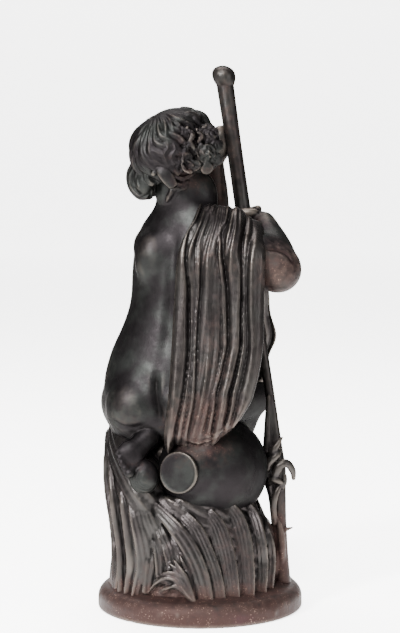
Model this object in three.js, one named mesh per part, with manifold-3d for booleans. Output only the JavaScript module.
// Cast iron garden statue: a young boy kneels astride an urn that lies among reeds on a round base.
// He looks up and away over his right shoulder, holds a tall bulrush with both hands,
// and a cloth hangs from his right shoulder down his back and over his lap. It is one casting.
// Millimetres, +Z up. The origin is the centre of the underside. The boy faces +Y.

import * as THREE from "three";
import { mergeVertices } from "three/addons/utils/BufferGeometryUtils.js";
import Module from "manifold-3d";

const wasm = await Module();
wasm.setup();

// Driving dimensions
const baseRadius = 200;
const baseHeight = 45;
const baseEdgeRound = 16;
const heightAboveBase = 1006;
const bulrushRadius = 13.5;
const bulrushKnobRadius = 21.5;
const stemRadius = 9.5;
const urnBellyRadius = 105;
const urnLength = 290;
const urnFootRadius = 40;
const urnMouthRadius = 46;
const urnWall = 9;
const urnMouthDepth = 60;
const clothThickness = 16;

// Worked-out sizes
const unit = heightAboveBase / 1000; // the pose is in thousandths of the height above the base
const urnNeckRadius = urnMouthRadius - 9;
const urnBoreRadius = urnNeckRadius - urnWall;

// Placing and joining

function at(x, y, z) {
  return new THREE.Vector3(x * unit, y * unit, baseHeight + z * unit);
}

function shares(...thousandths) {
  return thousandths.map((share) => share * unit);
}

function between(start, end, share) {
  return start.clone().lerp(end, share);
}

function middleOf(points) {
  const sum = new THREE.Vector3();
  points.forEach((point) => sum.add(point));
  return sum.divideScalar(points.length);
}

function circleOf(sides) {
  return Array.from({ length: sides }, (_, side) => {
    const angle = (2 * Math.PI * side) / sides;
    return { angle, cos: Math.cos(angle), sin: Math.sin(angle) };
  });
}

function solidOf(geometry) {
  const bare = geometry.index ? geometry.toNonIndexed() : geometry.clone();
  bare.deleteAttribute("normal");
  bare.deleteAttribute("uv");
  const merged = mergeVertices(bare, 1e-3);
  return new wasm.Manifold(
    new wasm.Mesh({
      numProp: 3,
      vertProperties: merged.attributes.position.array,
      triVerts: new Uint32Array(merged.index.array),
    }),
  );
}

function fuse(solids) {
  return solids.reduce((whole, next) => whole.add(next));
}

// The outermost skin alone, so that no sealed gap is left where forms meet
function outerSkin(solid) {
  return solid.decompose().reduce((most, next) => (next.volume() > most.volume() ? next : most));
}

function geometryOf(solid) {
  const { vertProperties, triVerts } = solid.getMesh();
  const geometry = new THREE.BufferGeometry();
  geometry.setAttribute("position", new THREE.BufferAttribute(vertProperties, 3));
  geometry.setIndex(new THREE.BufferAttribute(triVerts, 1));
  geometry.computeVertexNormals();
  return geometry;
}

// Basic forms

// The frame of a form that runs along one direction, with another to its side
function alongFrame(along, side) {
  const across = side.clone().addScaledVector(along, -side.dot(along)).normalize();
  return new THREE.Matrix4().makeBasis(across, along, across.clone().cross(along));
}

// An ellipsoid with the given half sizes, in thousandths of the height, turned by a matrix
function ball(centre, halfSizes, turn = new THREE.Matrix4(), sides = 8, rings = 6) {
  const geometry = new THREE.SphereGeometry(1, sides, rings);
  geometry.rotateX(Math.PI / 2);
  geometry.scale(...halfSizes.map((half) => half * unit));
  geometry.applyMatrix4(turn);
  geometry.translate(centre.x, centre.y, centre.z);
  return solidOf(geometry);
}

// A closed skin over rings of points, made from a cylinder. Each ring has the same number
// of points, anticlockwise as seen from the last ring.
function loft(rings) {
  const count = rings[0].length;
  const levels = rings.length - 1;
  const geometry = new THREE.CylinderGeometry(1, 1, 1, count, levels);
  const place = geometry.getAttribute("position");
  for (let index = 0; index < place.count; index++) {
    const level = Math.round((place.getY(index) + 0.5) * levels);
    const turn = Math.atan2(place.getX(index), place.getZ(index)) / (2 * Math.PI);
    const side = (Math.round(turn * count) + count) % count;
    const onAxis = Math.hypot(place.getX(index), place.getZ(index)) < 0.5;
    const point = onAxis ? middleOf(rings[level]) : rings[level][side];
    place.setXYZ(index, point.x, point.y, point.z);
  }
  return solidOf(geometry);
}

// A round limb through points, with a radius in millimetres at each, and domed ends
function limb(points, radii, sides = 8, steps = points.length + 1) {
  const curve = new THREE.CatmullRomCurve3(points);
  const stations = [];
  for (let step = 0; step <= steps; step++) {
    const along = step / steps;
    const place = along * (radii.length - 1);
    const low = Math.min(Math.floor(place), radii.length - 2);
    stations.push({
      centre: curve.getPoint(along),
      tangent: curve.getTangent(along),
      radius: THREE.MathUtils.lerp(radii[low], radii[low + 1], place - low),
    });
  }
  const domed = 0.68;
  const first = stations[0];
  const last = stations[stations.length - 1];
  stations.unshift({
    centre: first.centre.clone().addScaledVector(first.tangent, -first.radius * domed),
    tangent: first.tangent,
    radius: first.radius * domed,
  });
  stations.push({
    centre: last.centre.clone().addScaledVector(last.tangent, last.radius * domed),
    tangent: last.tangent,
    radius: last.radius * domed,
  });
  let across = new THREE.Vector3(0, 0, 1);
  if (Math.abs(first.tangent.z) > 0.8) across.set(1, 0, 0);
  const rings = stations.map(({ centre, tangent, radius }) => {
    across = across.clone().addScaledVector(tangent, -across.dot(tangent)).normalize();
    const side = across;
    const other = tangent.clone().cross(side);
    return circleOf(sides).map(({ cos, sin }) =>
      centre.clone().addScaledVector(side, cos * radius).addScaledVector(other, sin * radius),
    );
  });
  return loft(rings);
}

// A solid of revolution about +Z from [radius, height] pairs that start and end on the axis
function turned(profile, sides) {
  const outline = profile.map(([radius, height]) => new THREE.Vector2(radius, height));
  return new THREE.LatheGeometry(outline, sides).rotateX(Math.PI / 2);
}

// Base: a round plate with a rounded upper edge and a low mound of earth

function makeBase() {
  const edgeSteps = 3;
  const moundRise = 14 * unit;
  const profile = [[0, 0], [baseRadius, 0]];
  for (let step = 0; step <= edgeSteps; step++) {
    const angle = (Math.PI / 2) * (step / edgeSteps);
    profile.push([
      baseRadius - baseEdgeRound * (1 - Math.cos(angle)),
      baseHeight - baseEdgeRound * (1 - Math.sin(angle)),
    ]);
  }
  profile.push([baseRadius * 0.8, baseHeight + moundRise], [0, baseHeight + moundRise]);
  return solidOf(turned(profile, 36));
}

// Reeds: a fluted clump that carries the urn and a higher one under the left leg,
// with long blades that lean across them

const clump = {
  blades: 20,
  groove: 9,
  sides: [
    { z: -10, x: -10, y: 0, across: 162, deep: 158 },
    { z: 108, x: -7, y: 0, across: 156, deep: 138 },
    { z: 150, x: -18, y: 0, across: 134, deep: 134 },
    { z: 186, x: -20, y: 0, across: 130, deep: 128 },
  ],
};

const legClump = {
  blades: 11,
  groove: 8,
  sides: [
    { z: 0, x: -96, y: 4, across: 70, deep: 118 },
    { z: 100, x: -99, y: 6, across: 66, deep: 126 },
    { z: 190, x: -110, y: 8, across: 65, deep: 134 },
    { z: 262, x: -121, y: 22, across: 62, deep: 118 },
    { z: 308, x: -144, y: 44, across: 36, deep: 88 },
  ],
};

function makeClump({ blades, groove, sides }) {
  const pointsPerBlade = 3;
  const rings = sides.map(({ z, x, y, across, deep }) =>
    circleOf(blades * pointsPerBlade).map(({ angle, cos, sin }) => {
      const cut = groove * (1 - Math.abs(Math.sin((blades * angle) / 2)));
      return at(x + (across - cut) * cos, y + (deep - cut) * sin, z);
    }),
  );
  return loft(rings);
}

// Each blade lies on the clump: where its foot and tip stand round the clump, in degrees
// from +X, the heights of both, how far it stands off, and its half width.
const clumpBlades = [
  { foot: 196, tip: 202, low: 8, high: 250, off: 0, half: 13 },
  { foot: 212, tip: 211, low: 2, high: 262, off: 0, half: 12 },
  { foot: 232, tip: 216, low: 4, high: 176, off: 6, half: 12 },
  { foot: 256, tip: 222, low: 0, high: 168, off: 10, half: 13 },
  { foot: 272, tip: 232, low: 2, high: 156, off: 8, half: 13 },
  { foot: 280, tip: 262, low: 0, high: 142, off: 10, half: 14 },
  { foot: 298, tip: 290, low: 0, high: 150, off: 8, half: 13 },
  { foot: 318, tip: 308, low: 0, high: 158, off: 8, half: 12 },
];

function makeBlades() {
  return fuse(
    clumpBlades.map(({ foot, tip, low, high, off, half }) => {
      const points = [0, 0.35, 0.7, 1].map((share) => {
        const angle = THREE.MathUtils.degToRad(THREE.MathUtils.lerp(foot, tip, share ** 1.4));
        const tall = low + (high - low) * share;
        const lean = off + 146 - 26 * Math.sin(Math.PI * Math.min(share, 0.6));
        return at(-18 + lean * Math.cos(angle), lean * Math.sin(angle), tall);
      });
      return limb(points, shares(half, half, half * 0.8, half * 0.35), 4, 4);
    }),
  );
}

// Urn: lies on its side, foot towards the back of the statue, mouth towards the front

const urnFoot = at(-42, -146, 242);
const urnBelly = at(28, -12, 227);
const urnAxis = urnBelly.clone().sub(urnFoot).normalize();
const urnTurn = new THREE.Matrix4().makeRotationFromQuaternion(
  new THREE.Quaternion().setFromUnitVectors(new THREE.Vector3(0, 0, 1), urnAxis),
);

function onUrnAxis(geometry) {
  return geometry.applyMatrix4(urnTurn).translate(urnFoot.x, urnFoot.y, urnFoot.z);
}

function makeUrn() {
  const profile = [
    [0, 0],
    [urnFootRadius, 0],
    [urnFootRadius, 9],
    [urnFootRadius - 6, 15],
    [urnFootRadius + 8, 26],
    [urnBellyRadius * 0.7, urnLength * 0.18],
    [urnBellyRadius * 0.94, urnLength * 0.34],
    [urnBellyRadius, urnLength * 0.5],
    [urnBellyRadius * 0.92, urnLength * 0.66],
    [urnBellyRadius * 0.62, urnLength * 0.81],
    [urnNeckRadius, urnLength * 0.88],
    [urnNeckRadius, urnLength * 0.94],
    [urnMouthRadius, urnLength - 8],
    [urnMouthRadius, urnLength],
    [0, urnLength],
  ];
  return solidOf(onUrnAxis(turned(profile, 20)));
}

function makeUrnMouth() {
  const lipFlare = 8;
  const lipDepth = 12;
  const clear = 6;
  const profile = [
    [0, urnLength - urnMouthDepth],
    [urnBoreRadius, urnLength - urnMouthDepth],
    [urnBoreRadius, urnLength - lipDepth],
    [urnBoreRadius + lipFlare, urnLength],
    [urnBoreRadius + lipFlare, urnLength + clear],
    [0, urnLength + clear],
  ];
  return solidOf(onUrnAxis(turned(profile, 12)));
}

// Boy: the torso is lofted, the limbs are swept

// Each station is an ellipse: its middle, half width, half depth, and how far it turns
// to the boy's right, in degrees.
const torsoStations = [
  { middle: [-82, -22, 288], wide: 84, deep: 54, turn: 14 },
  { middle: [-78, -20, 320], wide: 104, deep: 76, turn: 14 },
  { middle: [-73, -12, 372], wide: 116, deep: 88, turn: 15 },
  { middle: [-69, -6, 410], wide: 117, deep: 88, turn: 16 },
  { middle: [-62, 2, 456], wide: 111, deep: 84, turn: 17 },
  { middle: [-50, 4, 505], wide: 101, deep: 77, turn: 18 },
  { middle: [-42, 3, 552], wide: 95, deep: 70, turn: 19 },
  { middle: [-34, 1, 612], wide: 101, deep: 67, turn: 21 },
  { middle: [-24, 0, 658], wide: 106, deep: 62, turn: 23 },
  { middle: [-20, 0, 694], wide: 100, deep: 54, turn: 24 },
  { middle: [-24, 1, 724], wide: 76, deep: 47, turn: 26 },
  { middle: [-36, 2, 746], wide: 54, deep: 43, turn: 32 },
  { middle: [-44, 2, 800], wide: 45, deep: 43, turn: 40 },
];

function makeTorso() {
  const rings = torsoStations.map(({ middle: [x, y, z], wide, deep, turn }) => {
    const angle = THREE.MathUtils.degToRad(turn);
    return circleOf(14).map(({ cos, sin }) => {
      const spineGroove = sin < 0 ? 5 * Math.exp(-((cos / 0.25) ** 2)) : 0;
      const side = wide * cos;
      const ahead = (deep - spineGroove) * sin;
      return at(
        x + side * Math.cos(angle) + ahead * Math.sin(angle),
        y - side * Math.sin(angle) + ahead * Math.cos(angle),
        z,
      );
    });
  });
  return fuse([
    loft(rings),
    ball(at(-123, -40, 352), [60, 64, 66], undefined, 11, 7),
    ball(at(-30, -66, 352), [58, 54, 60], undefined, 9, 6),
  ]);
}

const joints = {
  leftHip: at(-124, 8, 362),
  leftKnee: at(-146, 128, 312),
  leftAnkle: at(-136, -58, 292),
  rightHip: at(-18, -16, 366),
  rightKnee: at(92, 104, 351),
  rightAnkle: at(28, 164, 196),
  leftShoulder: at(-76, 30, 664),
  leftElbow: at(28, 118, 690),
  leftWrist: at(27, 100, 822),
  rightShoulder: at(76, -42, 682),
  rightElbow: at(150, -42, 616),
  rightWrist: at(124, 44, 700),
};

function makeLegs() {
  const { leftHip, leftKnee, leftAnkle, rightHip, rightKnee, rightAnkle } = joints;
  return fuse([
    limb([leftHip, between(leftHip, leftKnee, 0.5), leftKnee], shares(66, 62, 46), 9, 3),
    limb([leftKnee, between(leftKnee, leftAnkle, 0.4), leftAnkle], shares(40, 40, 25), 8, 3),
    limb([rightHip, between(rightHip, rightKnee, 0.5), rightKnee], shares(64, 60, 48), 9, 3),
    limb([rightKnee, between(rightKnee, rightAnkle, 0.4), rightAnkle], shares(40, 38, 24), 8, 3),
  ]);
}

// A foot is lofted from the heel to the toes, which are ridges on its upper side.
// Each station is how far along it is, its half width and half thickness, and how deep
// the grooves between the toes are.
const footStations = [
  { along: -26, wide: 13, thick: 13, groove: 0 },
  { along: -12, wide: 23, thick: 23, groove: 0 },
  { along: 22, wide: 24, thick: 20, groove: 0 },
  { along: 48, wide: 31, thick: 14, groove: 1 },
  { along: 58, wide: 32, thick: 12, groove: 6 },
  { along: 78, wide: 29, thick: 10, groove: 6 },
  { along: 84, wide: 24, thick: 5, groove: 2 },
];

function makeFoot(heel, toesAlong, greatToeSide) {
  const toes = 5;
  const frame = alongFrame(toesAlong, greatToeSide);
  const rings = footStations.map(({ along, wide, thick, groove }) => {
    const ring = [];
    for (let step = 0; step <= toes * 3; step++) {
      const angle = (Math.PI * step) / (toes * 3);
      const ridge = Math.abs(Math.sin(toes * angle));
      const lift = thick * Math.sin(angle) ** 0.4 - groove * (1 - ridge) * Math.sin(angle) ** 0.2;
      ring.push(new THREE.Vector3(-wide * Math.cos(angle), along, lift));
    }
    for (const share of [0.6, -0.6]) ring.push(new THREE.Vector3(wide * share, along, -thick));
    return ring.map((point) => point.multiplyScalar(unit).applyMatrix4(frame).add(heel));
  });
  return loft(rings);
}

function makeFeet() {
  const left = new THREE.Vector3(-0.08, -0.45, -0.9);
  const right = new THREE.Vector3(-0.6, 0.8, -0.1);
  return fuse([
    makeFoot(at(-130, -86, 330), left, new THREE.Vector3(1, 0, 0)),
    makeFoot(at(30, 150, 182), right, new THREE.Vector3(-0.8, -0.6, 0)),
  ]);
}

function makeArms() {
  const { leftShoulder, leftElbow, leftWrist } = joints;
  const { rightShoulder, rightElbow, rightWrist } = joints;
  return fuse([
    limb([leftShoulder, between(leftShoulder, leftElbow, 0.5), leftElbow], shares(42, 36, 30), 8, 3),
    limb([leftElbow, between(leftElbow, leftWrist, 0.4), leftWrist], shares(27, 28, 20), 8, 3),
    limb([rightShoulder, rightElbow], shares(50, 49), 9, 2),
    limb([rightElbow, between(rightElbow, rightWrist, 0.4), rightWrist], shares(38, 37, 24), 8, 3),
  ]);
}

// Bulrush: a stem that rises from the base into a long round head with a knob

const bulrushCurve = new THREE.CatmullRomCurve3([
  at(160, 0, 0),
  at(156, 6, 120),
  at(147, 20, 284),
  at(121, 43, 462),
  at(102, 57, 600),
  at(83, 71, 730),
  at(63.5, 84, 865),
  at(44, 97, 1000),
]);

function bulrushAt(height) {
  const wanted = baseHeight + height * unit;
  let low = 0;
  let high = 1;
  for (let halving = 0; halving < 30; halving++) {
    const middle = (low + high) / 2;
    if (bulrushCurve.getPoint(middle).z < wanted) low = middle;
    else high = middle;
  }
  return bulrushCurve.getPoint(low);
}

function makeBulrush() {
  const sides = 10;
  const headFoot = 570;
  const ringAt = (centre, radius) =>
    circleOf(sides).map(
      ({ cos, sin }) =>
        new THREE.Vector3(centre.x + radius * cos, centre.y + radius * sin, centre.z),
    );
  const stem = [
    { height: 60, radius: stemRadius * 1.5 },
    { height: 190, radius: stemRadius * 1.7 },
    { height: 260, radius: stemRadius * 1.5 },
    { height: 300, radius: stemRadius },
    { height: headFoot, radius: stemRadius },
    { height: headFoot + 30, radius: bulrushRadius },
    { height: 760, radius: bulrushRadius },
  ];
  const knob = [
    { below: 2.1, radius: bulrushRadius },
    { below: 1.75, radius: bulrushRadius * 1.08 },
    { below: 1.35, radius: bulrushKnobRadius * 0.9 },
    { below: 0.85, radius: bulrushKnobRadius },
    { below: 0.35, radius: bulrushKnobRadius * 0.83 },
    { below: 0, radius: bulrushKnobRadius * 0.4 },
  ];
  const rings = [ringAt(bulrushAt(0).setZ(baseHeight - 12), stemRadius * 1.8)];
  stem.forEach(({ height, radius }) => rings.push(ringAt(bulrushAt(height), radius)));
  knob.forEach(({ below, radius }) => {
    const height = (heightAboveBase - below * bulrushKnobRadius) / unit;
    rings.push(ringAt(bulrushAt(height), radius));
  });
  return loft(rings);
}

// A second stem that leans on the first and touches the urn
function makeSideStem() {
  const points = [
    at(134, 22, 362),
    at(132, 16, 300),
    at(131, 10, 232),
    at(133, 8, 205),
    at(142, 6, 165),
    at(146, 4, 104),
  ];
  return limb(points, shares(6, 8, 11, 11, 9, 7), 6, points.length - 1);
}

// A leaf that springs from the stem, arches outwards and ends in a point
function makeLeaf(root, reach, rise, drop, width) {
  const outward = new THREE.Vector3(1, -0.12, 0).normalize();
  const point = (share, lift) =>
    root.clone().addScaledVector(outward, reach * share * unit).setZ(root.z + lift * unit);
  const curve = [point(-0.1, 0), point(0.25, rise), point(0.75, rise), point(1, -drop)];
  return limb(curve, shares(width, width, width * 0.8, width * 0.45), 5, 4);
}

function makeLeaves() {
  return fuse([
    makeLeaf(bulrushAt(220), 36, 22, 16, 7),
    makeLeaf(bulrushAt(268), 14, 6, -18, 5),
    makeLeaf(bulrushAt(98), 24, 6, -8, 5.5),
  ]);
}

// Hands: each is a fist closed round the bulrush, with four fingers as ridges one above
// the other and a back that runs to the wrist

function makeHand({ wrist, height, shift }) {
  const grip = bulrushAt(height);
  const fingers = 4;
  const pitch = 12 * unit;
  const groove = bulrushRadius + 5 * unit;
  const crest = bulrushRadius + 9 * unit;
  const rings = [];
  for (let edge = 0; edge <= fingers * 2; edge++) {
    const lift = (edge / 2 - fingers / 2) * pitch;
    const centre = bulrushAt(height + lift / unit);
    const towards = wrist.clone().sub(grip).setZ(0).setLength(shift * unit);
    const radius = edge % 2 ? crest : groove;
    rings.push(
      circleOf(10).map(({ cos, sin }) =>
        centre.clone().add(towards).add(new THREE.Vector3(radius * cos, radius * sin, 0)),
      ),
    );
  }
  return fuse([
    loft(rings),
    limb([wrist, between(wrist, grip, 0.6)], shares(20, 24), 7, 2),
  ]);
}

// Where each fist holds the bulrush, and how far its palm lies towards the wrist
const hands = [
  { wrist: joints.rightWrist, height: 718, shift: 10 },
  { wrist: joints.leftWrist, height: 866, shift: 18 },
];

function makeHands() {
  return fuse(hands.map(makeHand));
}

// Head: it turns far to the boy's right and tips back

const headCentre = at(-50, 0, 846);
const headTurn = THREE.MathUtils.degToRad(62);
const headTip = THREE.MathUtils.degToRad(20);
const faceAhead = new THREE.Vector3(
  Math.sin(headTurn) * Math.cos(headTip),
  Math.cos(headTurn) * Math.cos(headTip),
  Math.sin(headTip),
);
const headUp = new THREE.Vector3(
  -Math.sin(headTurn) * Math.sin(headTip),
  -Math.cos(headTurn) * Math.sin(headTip),
  Math.cos(headTip),
);
const headRight = faceAhead.clone().cross(headUp);
const headFrame = new THREE.Matrix4().makeBasis(headRight, faceAhead, headUp);

// A point in the head's own frame: to its right, ahead and up, in thousandths
function onHead(right, ahead, up) {
  return headCentre
    .clone()
    .addScaledVector(headRight, right * unit)
    .addScaledVector(faceAhead, ahead * unit)
    .addScaledVector(headUp, up * unit);
}

function makeFace() {
  const mouth = [onHead(-12, 69, -43), onHead(0, 75, -43), onHead(12, 69, -43)];
  const solids = [
    ball(onHead(0, 6, 2), [66, 76, 70], headFrame, 12, 8),
    ball(onHead(0, 28, -28), [50, 48, 44], headFrame, 10, 6),
    ball(onHead(0, 60, -56), [17, 15, 13], headFrame, 6, 4),
    limb([onHead(0, 77, 6), onHead(0, 84, -20)], shares(5, 8), 5, 1),
    limb(mouth, shares(3, 6, 3), 5, 2),
  ];
  for (const side of [-1, 1]) {
    solids.push(
      ball(onHead(side * 26, 52, -28), [23, 20, 21], headFrame, 7, 5),
      ball(onHead(side * 25, 67, 0), [13, 8, 9], headFrame, 6, 4),
      ball(onHead(side * 68, -4, -14), [8, 15, 19], headFrame, 6, 4),
    );
  }
  return fuse(solids);
}

// Hair: a cap of thick wavy locks that fall from the crown

const hair = {
  halfSizes: [80, 86, 78],
  locks: 10,
  depth: 10,
  wave: 2.4,
  rings: 5,
};

function makeHairCap() {
  const geometry = new THREE.SphereGeometry(1, 30, 10);
  geometry.rotateX(Math.PI / 2);
  const place = geometry.getAttribute("position");
  for (let index = 0; index < place.count; index++) {
    const point = new THREE.Vector3().fromBufferAttribute(place, index);
    const azimuth = Math.atan2(point.y, point.x);
    const fall = Math.acos(THREE.MathUtils.clamp(point.z, -1, 1));
    const sway = hair.wave * Math.sin(2 * fall + Math.sin(3 * azimuth));
    const lock = Math.abs(Math.sin((hair.locks * azimuth + sway) / 2));
    const bump = 0.5 + 0.5 * Math.sin(hair.rings * fall + 2 * Math.sin(2 * azimuth));
    const lift = hair.depth * (0.7 * lock + 0.5 * bump - 0.8) * Math.sin(fall);
    const faceSide = Math.max(0, point.y) * Math.max(0, 0.85 - point.z);
    const drawn = 1 - 0.3 * faceSide;
    place.setXYZ(
      index,
      point.x * (hair.halfSizes[0] + lift) * drawn * unit,
      point.y * (hair.halfSizes[1] + lift) * drawn * unit,
      point.z * (hair.halfSizes[2] + lift) * unit,
    );
  }
  geometry.applyMatrix4(headFrame);
  const middle = onHead(0, -8, 0);
  geometry.translate(middle.x, middle.y, middle.z);
  return solidOf(geometry);
}

// Curls at the nape, over the ear and over the forehead: where they are, and their half sizes
const curls = [
  { spot: at(-121, 0, 786), halfSizes: [26, 32, 34] },
  { spot: at(-88, -36, 768), halfSizes: [30, 26, 21] },
  { spot: at(-44, -58, 780), halfSizes: [30, 22, 20] },
  { spot: at(6, -36, 836), halfSizes: [23, 24, 26] },
  { spot: at(-14, 6, 896), halfSizes: [26, 24, 18] },
  { spot: onHead(8, 58, 36), halfSizes: [24, 20, 20] },
  { spot: onHead(-34, 52, 34), halfSizes: [24, 22, 20] },
];

function makeCurls() {
  return fuse(curls.map(({ spot, halfSizes }) => ball(spot, halfSizes, undefined, 7, 5)));
}

// Cloth: a folded strip over the lap, up the chest, over the right shoulder and down the back,
// and a narrow fall from the right arm. Each fold is a ridge at a share of the half width.

const backFolds = [
  { place: -0.86, rise: 10, width: 0.1 },
  { place: -0.55, rise: 13, width: 0.12 },
  { place: -0.05, rise: 13, width: 0.2 },
  { place: 0.4, rise: 14, width: 0.1 },
  { place: 0.84, rise: 14, width: 0.12 },
];

const backCloth = [
  { middle: [-24, 134, 322], half: 66, across: [1, 0, 0], out: [0, 1, 0.1], fold: 0.5 },
  { middle: [-26, 124, 372], half: 88, across: [1, 0, 0], out: [0, 0.8, 0.6], fold: 0.6 },
  { middle: [-26, 86, 412], half: 96, across: [1, -0.1, 0], out: [0, 0.8, 0.6], fold: 0.5 },
  { middle: [0, 72, 480], half: 66, across: [1, -0.3, 0], out: [0.2, 1, 0.2], fold: 0.5 },
  { middle: [44, 52, 580], half: 52, across: [1, -0.4, 0], out: [0.3, 1, 0], fold: 0.5 },
  { middle: [68, 26, 676], half: 50, across: [1, -0.3, 0], out: [0.2, 0.9, 0.4], fold: 0.5 },
  { middle: [66, -20, 722], half: 54, across: [1, -0.1, -0.1], out: [0.1, 0, 1], fold: 0.6 },
  { middle: [61, -66, 700], half: 63, across: [1, 0, -0.05], out: [0, -0.8, 0.6], fold: 0.7 },
  { middle: [43, -86, 650], half: 79, across: [1, 0, 0], out: [0, -1, 0.1], fold: 0.9 },
  { middle: [36, -92, 560], half: 85, across: [1, 0, 0], out: [0, -1, 0], fold: 1 },
  { middle: [32, -102, 465], half: 86, across: [1, 0, 0], out: [0, -1, 0.1], fold: 1 },
  { middle: [20, -112, 380], half: 80, across: [1, 0, 0], out: [0, -1, 0.1], fold: 1 },
  { middle: [2, -116, 314], half: 68, across: [1, 0, 0], out: [0, -1, 0.2], fold: 0.9 },
  { middle: [-2, -100, 298], half: 60, across: [1, 0, 0], out: [0, -1, -0.2], fold: 0.4 },
];

const armFolds = [
  { place: -0.6, rise: 8, width: 0.3 },
  { place: 0.5, rise: 9, width: 0.3 },
];

const armCloth = [
  { middle: [108, 76, 388], half: 24, across: [1, 0.1, 0], out: [0, 1, 0], fold: 0.6 },
  { middle: [116, 76, 436], half: 24, across: [1, 0.1, 0], out: [0, 1, 0], fold: 1 },
  { middle: [120, 64, 500], half: 26, across: [1, 0.1, 0], out: [0, 1, 0], fold: 1 },
  { middle: [104, 44, 580], half: 24, across: [1, 0.1, 0], out: [0, 1, 0], fold: 1 },
  { middle: [100, 24, 664], half: 22, across: [1, 0.1, 0], out: [0, 1, 0.2], fold: 0.6 },
];

function foldHeight(folds, place) {
  return folds.reduce(
    (sum, fold) => sum + fold.rise * Math.exp(-(((place - fold.place) / fold.width) ** 2)),
    0,
  );
}

function makeCloth(stations, folds, steps, inward) {
  const backSteps = 3;
  const rings = stations.map(({ middle, half, across, out, fold }) => {
    const side = new THREE.Vector3(...across).normalize();
    const face = new THREE.Vector3(...out).normalize();
    const point = (place, lift) =>
      at(...middle).addScaledVector(side, place * half * unit).addScaledVector(face, lift);
    const ring = [];
    for (let step = 0; step <= steps; step++) {
      const place = 1 - (2 * step) / steps;
      ring.push(point(place, clothThickness / 2 + foldHeight(folds, place) * fold * unit));
    }
    for (let step = 0; step <= backSteps; step++) {
      const place = -1 + (2 * step) / backSteps;
      ring.push(point(place, -clothThickness / 2 - (place < 0.5 ? inward : 0) * unit));
    }
    return ring;
  });
  return loft(rings);
}

// A rounded stone under the left foot, and a shoot at the foot of the clump
function makeTrimmings() {
  return fuse([
    ball(at(-102, -116, 232), [29, 26, 32], undefined, 9, 6),
    ball(at(-166, -8, 44), [10, 10, 10], undefined, 6, 5),
  ]);
}

const forms = fuse([
  makeBase(),
  makeClump(clump),
  makeClump(legClump),
  makeBlades(),
  makeUrn(),
  makeTorso(),
  makeLegs(),
  makeFeet(),
  makeArms(),
  makeBulrush(),
  makeSideStem(),
  makeLeaves(),
  makeHands(),
  makeFace(),
  makeHairCap(),
  makeCurls(),
  makeCloth(backCloth, backFolds, 16, 26),
  makeCloth(armCloth, armFolds, 8, 0),
  makeTrimmings(),
]);
const casting = outerSkin(forms.subtract(makeUrnMouth()));

const iron = new THREE.MeshStandardMaterial({
  color: 0x2e2b29,
  roughness: 0.45,
  metalness: 0.7,
});

const statue = new THREE.Mesh(geometryOf(casting), iron);
statue.name = "statue";

const part = new THREE.Group();
part.add(statue);
export default part;
